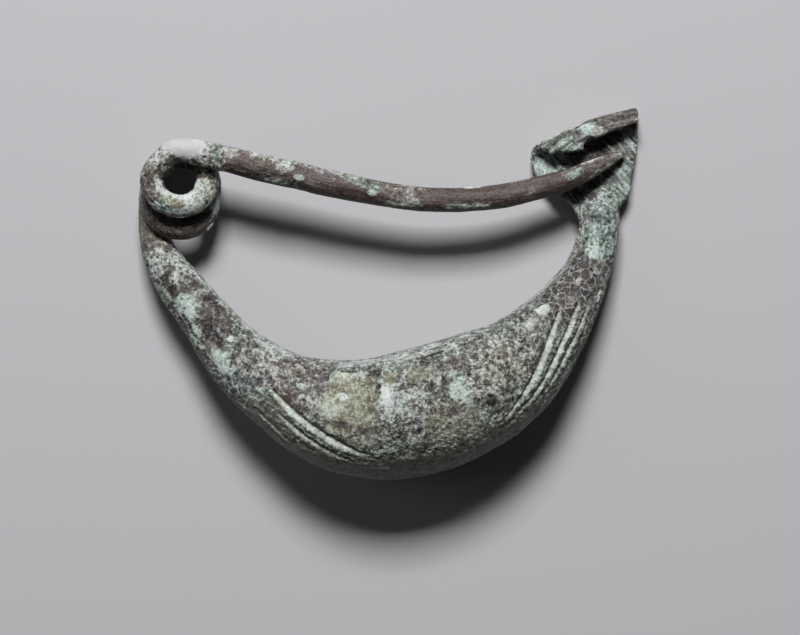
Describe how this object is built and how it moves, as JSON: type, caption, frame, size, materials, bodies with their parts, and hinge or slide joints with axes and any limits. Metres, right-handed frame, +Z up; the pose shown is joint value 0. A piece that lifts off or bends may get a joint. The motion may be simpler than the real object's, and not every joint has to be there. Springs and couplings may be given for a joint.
{
  "type": "bow fibula brooch",
  "caption": "Corroded bronze bow fibula brooch with a swollen leech-shaped bow, coiled wire spring, long pin and rolled catch-plate.",
  "frame": {"origin": "centre of the bounding box in plan, on the table that the brooch lies on", "axes": "+X from the spring to the catch-plate, +Y from the bow to the pin, +Z up from the table"},
  "size_m": [0.0704, 0.0518, 0.0172],
  "materials": {
    "bronze": "matte, crusted green, grey and brown patina"
  },
  "bodies": {
    "root": {"brooch": "bronze"}
  },
  "joints": []
}
